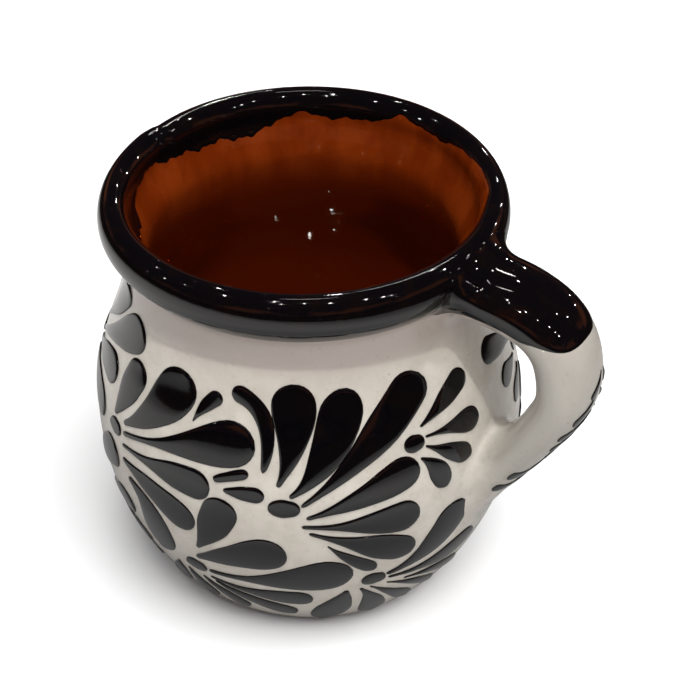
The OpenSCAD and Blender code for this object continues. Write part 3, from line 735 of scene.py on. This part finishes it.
LEFT = Spray("left_spray", (
    (-118.8, 54.7, -115.3, 62, -111.5, 70.2, 8.2, 1.2),
    (-113.7, 55, -102.3, 63, -92.7, 74.6, 10.4, 1.6),
    (-113.7, 52.3, -92.2, 58.7, -70.3, 64.6, 10.6, 4),
    (-113.9, 49.1, -97.8, 50.9, -81.9, 51.2, 8.2, 3.2),
    (-113.6, 45.5, -100.3, 43.4, -87.3, 38.5, 8.7, 1.5),
    (-111.2, 41.4, -102.8, 34.8, -103, 23.3, 9.8, 1.3),
), (-118.0, 51.7, 5.3, 4.2))
FRONT = Spray("front_spray", (
    (-67.8, 57.8, -68, 69.2, -77.8, 74.4, 4.1, 0.5),
    (-63.9, 55, -60, 65.5, -60.4, 77.4, 9.3, 1.7),
    (-60.9, 52.6, -51.7, 61.3, -44.3, 76, 9.2, 1.6),
    (-58, 50.3, -40, 62.5, -21.8, 75.1, 9.8, 1.9),
    (-56.8, 47.2, -42, 51.6, -26.8, 56.3, 8.2, 1.9),
    (-58, 45, -42.5, 44.3, -27.1, 43.7, 8.2, 2.8),
    (-56.2, 43.1, -42.8, 38.4, -28.3, 32.5, 8, 2.5),
    (-51.6, 39.1, -46.3, 34.6, -38.8, 29.2, 3.8, 1.8),
), (-62.3, 49.7, 7.0, 4.8))
SMALL_FAN = Spray("small_fan", (
    (-24.6, 63.7, -15.5, 66.8, -5.8, 70.1, 5.7, 1.7),
    (-23.6, 61.2, -13.8, 60.3, -4.6, 58.9, 5.7, 2.6),
    (-23.9, 59.2, -17.3, 55.8, -9.9, 51.8, 4.8, 1.7),
    (-25.9, 57, -21.7, 53.2, -19.1, 47.4, 5.3, 1.5),
), (-27.1, 60.7, 4.9, 4.2))
LOWER_RIGHT = Spray("lower_right_spray", (
    (-35.2, 25.5, -22.6, 30.6, -13.4, 41, 10, 2),
    (-34.4, 23.8, -19.5, 23.1, -3.8, 24.4, 8, 3),
    (-28.8, 20.6, -17.5, 18.1, -6, 14, 4.6, 2),
    (-34.4, 21.3, -25, 16.9, -14.5, 10.8, 3.6, 2),
    (-39.4, 21.5, -31.6, 15.4, -23, 8.2, 4.3, 2),
    (-42.2, 21.4, -37.8, 14.3, -35.3, 5.2, 6.5, 1.8),
    (-46.1, 21.3, -48.3, 14.5, -53, 4.8, 8.4, 1.3),
), (-38.8, 24.8, 5.6, 4.9))
LOWER_LEFT = Spray("lower_left_spray", (
    (-87.2, 32.2, -82.2, 40, -77.7, 49.5, 8.8, 1.6),
    (-88.6, 28.1, -75.5, 33, -62.3, 37.2, 9.8, 1.3),
    (-85.9, 23.7, -65.5, 26.1, -44.9, 30, 11.2, 3.3),
    (-86.4, 20.8, -71, 19, -55.6, 18.3, 7.3, 3),
    (-85.3, 19.4, -73.8, 14.4, -61.2, 9.7, 6.2, 1.4),
    (-89.5, 19.4, -84.3, 14.3, -78, 8.6, 4.8, 1.5),
    (-94.4, 20.4, -92.8, 15, -90.3, 8.5, 4.6, 1.5),
    (-97.9, 21, -99.6, 16.5, -103.3, 9.5, 5.2, 1.5),
), (-89.9, 24.0, 5.5, 4.8))
FILLER = Spray("filler_strokes", (
    (-88.8, 65.2, -85.8, 69.1, -81, 72.7, 3.6, 1.6),
    (-80.9, 54.1, -77, 55.6, -71.5, 57.3, 2.5, 0.3),
    (-78.2, 52.2, -73, 52.3, -67.2, 52.4, 3.9, 0.8),
))
FAR_LEFT = Spray("far_left_spray", (
    (-148, 65, -137.5, 73.5, -127.8, 83.3, 8.4, 1.8),
    (-147, 61.6, -129.5, 69.6, -113.2, 76.8, 9, 2),
    (-148.5, 58.5, -135.5, 61.1, -122.3, 62.4, 7.6, 1.8),
    (-150, 55, -139, 52.6, -126.2, 50.8, 9.3, 1.3),
), (-155.0, 58.3, 5.5, 4.5), double=True)
LOWER_FAR_LEFT = Spray("lower_far_left_spray", (
    (-136.7, 30.8, -127.6, 38.8, -117, 45.4, 8.8, 1.6),
    (-132, 26.8, -122.5, 29.5, -112.3, 31.3, 7.4, 1.6),
    (-131, 23.8, -121.5, 22.3, -110.5, 20.3, 6.2, 2),
    (-132, 20.8, -124.5, 16.2, -114.5, 11, 5.4, 2),
    (-136, 19.8, -131.5, 13, -127, 5.5, 6, 1.8),
), (-138.0, 24.5, 5.0, 4.2), double=True)
BEHIND = Spray("behind_handle_spray", (
    (27, 61, 17, 65.5, 4.5, 69.2, 6.5, 1.8),
    (25.5, 58, 18.5, 58.3, 10.8, 59, 5.4, 1.8),
    (26.5, 55, 21.5, 52.5, 16.2, 50.5, 5.2, 1.6),
    (29.5, 53.3, 28.5, 48.5, 29.5, 43.5, 4.8, 1.6),
    (36, 63, 38, 69, 37.5, 75.5, 6, 1.8),
), (30.5, 58.3, 5.0, 4.2), height=0.3)
SPRAYS = (
    LEFT, FRONT, SMALL_FAN, LOWER_LEFT, LOWER_RIGHT, FILLER, FAR_LEFT, LOWER_FAR_LEFT, BEHIND,
    replace(FRONT, node="back_spray", turn=24, flip=True),
    replace(LEFT, node="back_left_spray", turn=24, flip=True),
    replace(LOWER_RIGHT, node="lower_back_right_spray", turn=14, flip=True),
    replace(LOWER_LEFT, node="lower_back_spray", turn=24, flip=True),
    replace(LOWER_FAR_LEFT, node="lower_back_left_spray", turn=-60),
)


def rgba(colour: Colour, shares: Colour = (1, 1, 1)) -> tuple[float, ...]:
    """Returns a colour with each part at its share, and its alpha."""
    return (*(part * share for part, share in zip(colour, shares)), 1)


class Nodes:
    """Adds and links shader nodes in a node tree."""

    def __init__(self, tree: bpy.types.NodeTree) -> None:
        """Works on the tree given."""
        self.tree = tree

    def put(self, node: bpy.types.Node, links: Links) -> bpy.types.Node:
        """Gives each input named a value, or links an output to it, and returns the node."""
        for key, value in links.items():
            if isinstance(value, Socket):
                self.tree.links.new(value, node.inputs[key])
            else:
                node.inputs[key].default_value = value
        return node

    def add(self, kind: str, links: Links | None = None, **props: object) -> bpy.types.Node:
        """Adds a node of a kind with settings of its own, and returns it."""
        node = self.tree.nodes.new(kind)
        for key, value in props.items():
            setattr(node, key, value)
        return self.put(node, links or {})

    def where(self) -> Socket:
        """Returns the place on the object in metres."""
        return self.add("ShaderNodeTexCoord").outputs["Object"]

    def math(self, operation: str, a: object, b: object) -> Socket:
        """Returns what an operation makes of two numbers."""
        return self.add("ShaderNodeMath", {0: a, 1: b}, operation=operation).outputs[0]

    def noise(self, where: Socket, scale: object, detail: float, roughness: float = 0.5) -> Socket:
        """Returns a noise at a place."""
        links = {"Vector": where, "Scale": scale, "Detail": detail, "Roughness": roughness}
        return self.add("ShaderNodeTexNoise", links).outputs[0]

    def ramp(self, source: Socket, low: float, high: float, a: float = 0.0, b: float = 1.0) -> Socket:
        """Returns source mapped smoothly from low..high to a..b."""
        links = {0: source, 1: low, 2: high, 3: a, 4: b}
        return self.add("ShaderNodeMapRange", links, interpolation_type="SMOOTHSTEP").outputs[0]

    def blend(self, factor: object, a: object, b: object) -> Socket:
        """Returns the colour between a and b at a factor."""
        return self.add("ShaderNodeMix", {0: factor, 6: a, 7: b}, data_type="RGBA").outputs[2]


class Group(Nodes):
    """A new node group whose inputs and outputs are numbers."""

    def __init__(self, name: str, inputs: dict[str, float], *outputs: str) -> None:
        """Makes the group with its inputs at their usual values."""
        super().__init__(bpy.data.node_groups.new(name, "ShaderNodeTree"))
        for label in (*inputs, *outputs):
            way = "INPUT" if label in inputs else "OUTPUT"
            socket = self.tree.interface.new_socket(label, in_out=way, socket_type="NodeSocketFloat")
            socket.default_value = inputs.get(label, 0.0)
        self.given, self.result = self.add("NodeGroupInput"), self.add("NodeGroupOutput")


@cache
def glaze_wave_group() -> bpy.types.NodeTree:
    """Returns the shared group of a fired glaze's faint waves and pinholes: Height and Mottle."""
    n = Group("glaze_wave", {"Scale": 60.0, "Fine": 0.06}, "Height", "Mottle")
    scale, share = (n.given.outputs[label] for label in ("Scale", "Fine"))
    where = n.where()
    fine = n.noise(where, n.math("MULTIPLY", scale, 11.0), 2.0)
    height = n.math("ADD", n.noise(where, scale, 1.0, 0.4), n.math("MULTIPLY", fine, share))
    n.put(n.result, {"Height": height, "Mottle": n.noise(where, 190.0, 5.0, 0.65)})
    return n.tree


@cache
def speck_group() -> bpy.types.NodeTree:
    """Returns the shared group of small round specks: Mask, from a Scale, a Size and a Share."""
    n = Group("specks", {"Scale": 400.0, "Size": 0.12, "Share": 0.25}, "Mask")
    scale, size, share = (n.given.outputs[label] for label in ("Scale", "Size", "Share"))
    cell = n.add("ShaderNodeTexVoronoi", {"Vector": n.where(), "Scale": scale})
    dot = n.add("ShaderNodeMapRange", {0: cell.outputs["Distance"], 1: size, 2: 0.0, 3: 0.0, 4: 1.0})
    pick = n.add("ShaderNodeSeparateColor", {0: cell.outputs["Color"]})
    some = n.math("LESS_THAN", pick.outputs[0], share)
    n.put(n.result, {"Mask": n.math("MULTIPLY", dot.outputs[0], some)})
    return n.tree


@dataclass(frozen=True)
class Finish:
    """A procedural finish, made once and shared by its pieces. A mottle mixes its two colours."""

    name: str
    colour: Colour
    second: Colour
    roughness: float
    wave: float = 0.0
    wave_scale: float = 60.0
    mottle: tuple[float, float] = (0.35, 0.65)

    def shade(self, n: Nodes, mottle: Socket) -> Socket:
        """Returns the finish's colour, from its nodes and the mottle."""
        return n.blend(n.ramp(mottle, *self.mottle), rgba(self.colour), rgba(self.second))

    @cache
    def material(self) -> bpy.types.Material:
        """Returns the finish's material, made at its first use."""
        mat = bpy.data.materials.new(self.name)
        mat.use_nodes = True
        n = Nodes(mat.node_tree)
        wave = n.add("ShaderNodeGroup", {"Scale": self.wave_scale}, node_tree=glaze_wave_group())
        links = {"Base Color": self.shade(n, wave.outputs["Mottle"]), "Roughness": self.roughness, "IOR": 1.5}
        if self.wave:
            bump = {"Height": wave.outputs["Height"], "Strength": 1.0, "Distance": self.wave}
            links["Normal"] = n.add("ShaderNodeBump", bump).outputs[0]
        n.put(n.tree.nodes["Principled BSDF"], links)
        return mat


# Specks in the cream: how close they lie, their size, how many of them show, and how dark they are
SPECKS = ((620.0, 0.3, 0.5, 0.2), (260.0, 0.1, 0.07, 0.6))


class CreamGlaze(Finish):
    """Cream glaze with faint mottling, fine dark specks and painted shade on the neck."""

    def shade(self, n: Nodes, mottle: Socket) -> Socket:
        """Returns the mottled cream with two sizes of specks, darker on the handle, and with painted shade
        darkening the neck under the lip.
        """
        base = super().shade(n, mottle)
        place = n.add("ShaderNodeSeparateXYZ", {0: n.where()}).outputs
        base = n.blend(n.ramp(place[0], 0.047, 0.06), base, rgba(self.colour, (0.72, 0.72, 0.72)))
        # Painted shade: above 74 to 83 mm and off the handle, the neck is darkened and made pinker as if in
        # the lip's shadow
        neck = n.math("MULTIPLY", n.ramp(place[2], 0.074, 0.083), n.ramp(place[0], 0.06, 0.047))
        base = n.blend(neck, base, rgba(self.colour, (0.75, 0.695, 0.7)))
        for scale, size, share, depth in SPECKS:
            links = {"Scale": scale, "Size": size, "Share": share}
            mask = n.add("ShaderNodeGroup", links, node_tree=speck_group()).outputs[0]
            base = n.blend(n.math("MULTIPLY", mask, depth), base, rgba((0.22, 0.15, 0.1)))
        return base


class AmberGlaze(Finish):
    """Honey glaze over red clay, streaked down the wall, with painted shade darkening the wall below the neck
    and painted light brightening the floor.
    """

    def shade(self, n: Nodes, mottle: Socket) -> Socket:
        """Returns the amber with its streaks and its patches, painted shade down the wall and painted light
        on the floor.
        """
        where = n.where()
        tall = n.add("ShaderNodeMapping", {"Vector": where, "Scale": (1.0, 1.0, 0.12)}).outputs[0]
        streak = n.ramp(n.noise(tall, 160.0, 3.0), 0.38, 0.68)
        base = n.blend(streak, rgba(self.colour), rgba(self.second))
        patch = n.ramp(mottle, 0.45, 0.75, 0.0, 0.35)
        base = n.blend(patch, base, rgba(self.colour, (0.6, 0.5, 0.5)))
        height = n.add("ShaderNodeSeparateXYZ", {0: where}).outputs[2]
        # Painted shade: the wall below about 88 mm, fully from 74 mm down, is darkened as if shadowed by the
        # neck
        base = n.blend(n.ramp(height, 0.088, 0.074), base, rgba(self.colour, (0.7, 0.55, 0.7)))
        # Painted light: the floor, below about 12 mm, is brightened as if lit from above
        return n.blend(n.ramp(height, 0.012, 0.0068), base, rgba(self.colour, (1.6, 1.5, 1.7)))


CREAM = CreamGlaze(
    "fired_cream_glaze", (0.535, 0.515, 0.47), (0.465, 0.44, 0.395), 0.09, 0.00006, mottle=(0.3, 0.7))
BLACK = Finish(
    "fired_black_glaze", (0.0018, 0.0014, 0.0018), (0.006, 0.0025, 0.0014), 0.04, 0.00016, mottle=(0.5, 0.8))
RELIEF = Finish(
    "raised_black_glaze", (0.0014, 0.0013, 0.0018), (0.003, 0.0016, 0.0013), 0.05, 0.00005, 90.0, (0.5, 0.8))
AMBER = AmberGlaze(
    "fired_amber_glaze", (0.124, 0.0155, 0.0012), (0.175, 0.0255, 0.0028), 0.03, 0.00012, 45.0)
CLAY = Finish("bare_red_clay", (0.2, 0.1, 0.06), (0.12, 0.06, 0.04), 0.85)


@dataclass(frozen=True)
class Lamp:
    """A round lamp, or a thin one, aimed at the mug. Lengths are in metres, its power is in watts."""

    place: Point
    size: float
    power: float
    colour: Colour = (1.0, 0.97, 0.93)
    glossy: bool = True
    thin: float = 0.0
    lit: Lit = Lit.ALL

    @classmethod
    def towards(cls, az: float, el: float, size: float, power: float, **more: object) -> "Lamp":
        """Returns a lamp at an angle round the mug and a rise in degrees, 2.2 m away."""
        away, a, b = 2.2, math.radians(az), math.radians(el)
        out, up = away * math.cos(b), away * math.sin(b)
        return cls((out * math.cos(a), out * math.sin(a), 0.06 + up), size, power, **more)

    def build(self, name: str) -> None:
        """Adds the lamp under a name."""
        data = bpy.data.lights.new(name, "AREA")
        data.shape, data.size, data.size_y = "ELLIPSE", self.size, self.thin or self.size
        data.energy, data.color = self.power, self.colour
        obj = bpy.data.objects.new(name, data)
        bpy.context.scene.collection.objects.link(obj)
        obj.location = self.place
        obj.rotation_euler = (Vector((0, 0, 0.05)) - Vector(self.place)).to_track_quat("-Z", "Y").to_euler()
        obj.visible_glossy = self.glossy
        obj.visible_camera = False


# The main lamp, the wide one over the floor, the front one, and two thin ones that streak the glazes
LAMPS = (
    Lamp.towards(302, 70.5, 0.08, 30.0, glossy=False, lit=Lit.MUG),
    Lamp((0.69, -0.25, 2.0), 2.2, 152.0, (1.0, 1.0, 1.0), False, lit=Lit.FLOOR),
    Lamp.towards(330, 30, 1.2, 10.5, glossy=False, lit=Lit.MUG),
    Lamp.towards(112, 47, 0.5, 1.8, thin=0.03),
    Lamp.towards(124, 80, 0.45, 1.1, thin=0.035),
)
# Small lamps that the glazes mirror: angle round the mug, rise in degrees and power in watts
GLINTS = (
    (245, 55, 1.6), (286, 56, 1.4), (320, 57, 1.3), (341, 47, 1.1), (228, 42, 0.9), (223, 28, 0.9),
    (352, 34, 0.9), (123, 44, 1.2), (98, 53, 1.0), (40, 46, 1.7), (348, 39, 0.8), (46, 31, 0.8),
    (80, 13, 1.0), (107, 21, 1.2), (102, 26, 1.2), (68, 16, 1.0), (268, 72, 1.8), (301, 64, 1.5),
    (275, 66, 1.0), (150, 60, 0.9), (190, 48, 0.9),
)


@dataclass
class Studio:
    """The floor, the lamps, the surroundings and the camera. The camera's places are in millimetres."""

    camera_place: Point = (185.9, -265.5, 311.9)
    target: Point = (7.76, 5.43, 53.9)
    lens: float = 92.44
    roll: float = -0.0082
    glint_size: float = 0.035

    def camera(self) -> None:
        """Adds the camera at the photograph's angle."""
        data = bpy.data.cameras.new("camera")
        data.lens, data.clip_start, data.clip_end = self.lens, 0.01, 50.0
        obj = bpy.data.objects.new("camera", data)
        bpy.context.scene.collection.objects.link(obj)
        place, target = Vector(self.camera_place) * MM, Vector(self.target) * MM
        back = (place - target).normalized()
        level = Vector((0, 0, 1)).cross(back).normalized()
        right = level * math.cos(self.roll) + back.cross(level) * math.sin(self.roll)
        obj.rotation_mode = "QUATERNION"
        obj.rotation_quaternion = Matrix((right, back.cross(right), back)).transposed().to_quaternion()
        obj.location = place
        bpy.context.scene.camera = obj

    def floor(self) -> None:
        """Adds a plain pale floor. Glossy faces mirror a darker one, with a painted shadow close round the
        mug, out to the edge of a tabletop.
        """
        bpy.ops.object.select_all(action="DESELECT")
        bpy.ops.mesh.primitive_plane_add(size=12, location=(0, 0, 0))
        obj = bpy.context.object
        obj.name = "floor"
        mat = bpy.data.materials.new("floor_white")
        mat.use_nodes = True
        n = Nodes(mat.node_tree)
        where = n.where()
        away = n.add("ShaderNodeVectorMath", {0: where}, operation="LENGTH").outputs["Value"]
        # Painted shadow: glossy faces see the floor darker within about 70 mm of the mug's axis, lightening
        # out to 150 mm
        mirrored_table_and_shadow = n.blend(n.ramp(away, 0.07, 0.15), rgba((0.16, 0.16, 0.16)), rgba((0.32, 0.316, 0.31)))
        links = {0: where, 1: (-0.05, -0.1, 0.0)}
        away = n.add("ShaderNodeVectorMath", links, operation="DISTANCE").outputs["Value"]
        mirrored_table_and_shadow = n.blend(n.ramp(away, 0.16, 0.31), mirrored_table_and_shadow, rgba((0.13, 0.128, 0.125)))
        mirrored_table_and_shadow = n.blend(n.ramp(away, 0.31, 0.35), mirrored_table_and_shadow, rgba((0.008, 0.005, 0.004)))
        path = n.add("ShaderNodeLightPath").outputs
        white = n.blend(path["Is Diffuse Ray"], rgba((0.46, 0.46, 0.463)), rgba((0.24, 0.232, 0.225)))
        links = {"Base Color": n.blend(path["Is Glossy Ray"], white, mirrored_table_and_shadow)}
        links |= {"Roughness": 1.0, "Specular IOR Level": 0.0}
        n.put(n.tree.nodes["Principled BSDF"], links)
        obj.data.materials.append(mat)

    def world(self) -> None:
        """Sets dim, warm surroundings that glossy faces reflect, and a soft light for the rest."""
        world = bpy.data.worlds.new("surroundings")
        bpy.context.scene.world = world
        world.use_nodes = True
        n = Nodes(world.node_tree)
        where = n.add("ShaderNodeTexCoord").outputs["Generated"]
        height = n.add("ShaderNodeSeparateXYZ", {0: where}).outputs[2]
        low = n.math("MULTIPLY", n.ramp(height, 0.38, 0.2), n.ramp(height, 0.02, 0.1))
        warm = n.math("MULTIPLY", n.ramp(n.noise(where, 3.5, 2.0), 0.46, 0.62), low)
        room = n.blend(warm, rgba((0.025, 0.018, 0.026)), rgba((0.35, 0.11, 0.05)))
        soft = n.blend(n.ramp(height, -0.05, 0.75), rgba((0.2, 0.145, 0.12)), rgba((0.48, 0.485, 0.5)))
        links = {0: where, 1: (0.7, -0.34, 0.0)}
        side = n.add("ShaderNodeVectorMath", links, operation="DOT_PRODUCT").outputs["Value"]
        links = {0: soft, 3: n.math("ADD", side, 1.0)}
        soft = n.add("ShaderNodeVectorMath", links, operation="SCALE").outputs[0]
        colour = n.blend(n.add("ShaderNodeLightPath").outputs["Is Glossy Ray"], soft, room)
        n.put(n.tree.nodes["Background"], {"Color": colour})
        world.cycles.sampling_method = "NONE"

    def build(self) -> None:
        """Builds the whole studio."""
        self.camera()
        self.floor()
        self.world()
        glints = [Lamp.towards(az, el, self.glint_size, power) for az, el, power in GLINTS]
        for k, lamp in enumerate((*LAMPS, *glints)):
            lamp.build(f"lamp_{k}")
        view = bpy.context.scene.view_settings
        view.view_transform, view.look = "Standard", "None"

    def aim(self, pieces: Sequence[Piece]) -> None:
        """Lets each lamp light what it is meant for alone: the mug's pieces or the floor."""
        meant = {Lit.MUG: pieces, Lit.FLOOR: [bpy.data.objects["floor"]]}
        for k, lamp in enumerate(LAMPS):
            if lamp.lit in meant:
                lit = bpy.data.collections.new(f"lit_by_lamp_{k}")
                for piece in meant[lamp.lit]:
                    lit.objects.link(piece)
                bpy.data.objects[f"lamp_{k}"].light_linking.receiver_collection = lit


@dataclass
class Mug:
    """The whole dressed mug."""

    pot: Pot = field(default_factory=Pot)
    done: list[Piece] = field(default_factory=list)

    def dress(self, obj: Piece, finish: Finish, slot: Slot, *nodes: str) -> None:
        """Gives a piece its finish and its body, and hides the nodes that it replaces."""
        obj.data.materials.clear()
        obj.data.materials.append(finish.material())
        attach(obj, "root")
        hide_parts(*nodes)
        self.done.append(obj)
        LOG.info("%s: %d faces", obj.name, len(obj.data.polygons))

    def build(self) -> list[Piece]:
        """Builds and dresses every piece, and returns them."""
        self.dress(self.pot.clay(), CLAY, Slot.CLAY, "clay_pot")
        self.dress(self.pot.cream(), CREAM, Slot.CREAM, "cream_glaze_pot")
        self.dress(self.pot.black(), BLACK, Slot.BLACK, "black_glaze_lip")
        self.dress(self.pot.amber(), AMBER, Slot.AMBER, "amber_glaze_lining")
        handle = Handle(self.pot)
        self.dress(handle.body(), CREAM, Slot.CREAM, "clay_handle", "cream_glaze_handle", "lower_root_fillet")
        self.dress(handle.black(), BLACK, Slot.BLACK, "black_glaze_handle", "upper_root_fillet")
        relief = Relief(self.pot, handle)
        for plan in SPRAYS:
            self.dress(relief.spray(plan), RELIEF, Slot.RELIEF, plan.node)
        self.dress(relief.leaves(), RELIEF, Slot.RELIEF, "handle_leaves")
        return self.done


def main() -> None:
    """Loads the frame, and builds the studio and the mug."""
    logging.basicConfig(level=logging.INFO, format="%(name)s: %(message)s")
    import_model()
    studio = Studio()
    studio.build()
    studio.aim(Mug().build())


if __name__ == "__main__":
    main()
